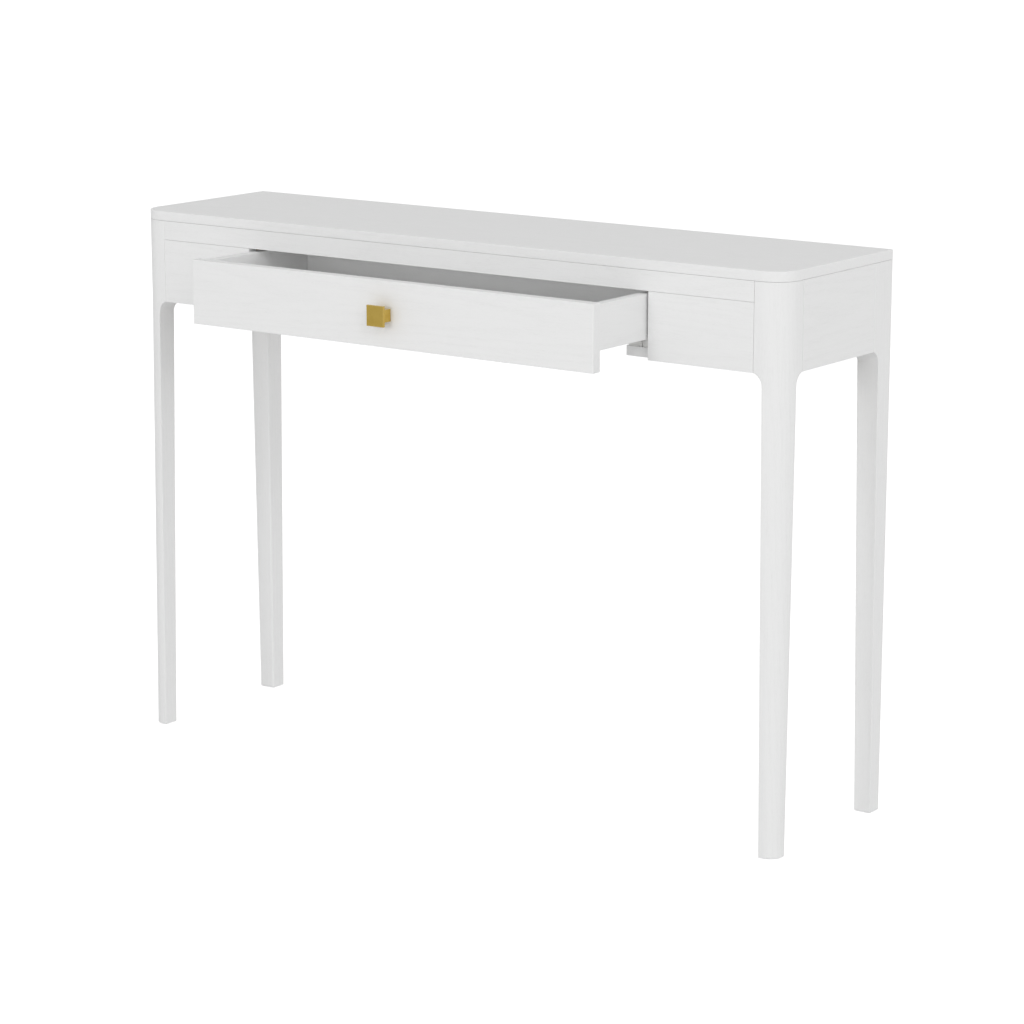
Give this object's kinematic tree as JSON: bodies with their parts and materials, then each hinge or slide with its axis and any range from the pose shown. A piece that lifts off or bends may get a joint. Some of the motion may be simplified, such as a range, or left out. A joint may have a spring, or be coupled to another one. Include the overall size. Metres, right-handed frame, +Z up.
{
  "type": "writing desk",
  "caption": "Narrow white console desk on tapered legs, with rounded front corners and a wide centre drawer on telescopic slides with a square gilt knob.",
  "frame": {"origin": "on the floor, under the middle of the outline of the desk with its drawer part open", "axes": "+X along the length to the right of someone sitting at it, +Y from front to back, +Z up"},
  "size_m": [1.2, 0.455, 0.85],
  "materials": {
    "white_paint": "satin white paint with the open grain showing",
    "bare_wood": "bare planed softwood, hidden inside the carcass",
    "brass": "polished gold-coloured brass",
    "zinc_steel": "bright zinc plate",
    "coated_steel": "white epoxy coat on rolled steel",
    "wood_screw": "yellow zinc plate"
  },
  "bodies": {
    "desk": {"back_apron": "white_paint", "corner_block_front_left": "bare_wood", "corner_block_front_right": "bare_wood", "corner_block_rear_left": "bare_wood", "corner_block_rear_right": "bare_wood", "corner_nut_front_left": "zinc_steel", "corner_nut_front_right": "zinc_steel", "corner_nut_rear_left": "zinc_steel", "corner_nut_rear_right": "zinc_steel", "divider_left": "bare_wood", "divider_right": "bare_wood", "divider_screw_front_left": "wood_screw", "divider_screw_front_right": "wood_screw", "divider_screw_rear_left": "wood_screw", "divider_screw_rear_right": "wood_screw", "front_panel_left": "white_paint", "front_panel_right": "white_paint", "front_rail": "white_paint", "hanger_bolt_front_left": "zinc_steel", "hanger_bolt_front_right": "zinc_steel", "hanger_bolt_rear_left": "zinc_steel", "hanger_bolt_rear_right": "zinc_steel", "leg_front_left": "white_paint", "leg_front_right": "white_paint", "leg_rear_left": "white_paint", "leg_rear_right": "white_paint", "rail_screw_left": "wood_screw", "rail_screw_right": "wood_screw", "runner_board_left": "white_paint", "runner_board_right": "white_paint", "side_apron_left": "white_paint", "side_apron_right": "white_paint", "slide_base_left": "coated_steel", "slide_base_right": "coated_steel", "slide_screw_front_left": "zinc_steel", "slide_screw_front_right": "zinc_steel", "slide_screw_rear_left": "zinc_steel", "slide_screw_rear_right": "zinc_steel", "tabletop": "white_paint", "top_screw_front_left": "wood_screw", "top_screw_front_right": "wood_screw", "top_screw_rear_left": "wood_screw", "top_screw_rear_right": "wood_screw"},
    "drawer": {"drawer_back": "white_paint", "drawer_bottom": "white_paint", "drawer_front": "white_paint", "drawer_side_left": "white_paint", "drawer_side_right": "white_paint", "floor_screw_front_left": "zinc_steel", "floor_screw_front_right": "zinc_steel", "floor_screw_rear_left": "zinc_steel", "floor_screw_rear_right": "zinc_steel", "knob_plate": "brass", "knob_screw": "zinc_steel", "knob_stem": "brass", "slide_top_left": "coated_steel", "slide_top_right": "coated_steel"},
    "slide_middle_left": {"slide_middle_left": "coated_steel"},
    "slide_middle_right": {"slide_middle_right": "coated_steel"}
  },
  "joints": [
    {"name": "drawer_slide", "type": "slide", "parent": "desk", "child": "drawer", "axis": [0, -1, 0], "range_m": [-0.1335, 0.1065]},
    {"name": "middle_left_travel", "type": "slide", "parent": "desk", "child": "slide_middle_left", "axis": [0, -1, 0], "range_m": [-0.06675, 0.05325]},
    {"name": "middle_right_travel", "type": "slide", "parent": "desk", "child": "slide_middle_right", "axis": [0, -1, 0], "range_m": [-0.06675, 0.05325]}
  ],
  "couplings": [
    {"joint": "middle_left_travel", "follows": "drawer_slide", "ratio": 0.5},
    {"joint": "middle_right_travel", "follows": "drawer_slide", "ratio": 0.5}
  ]
}
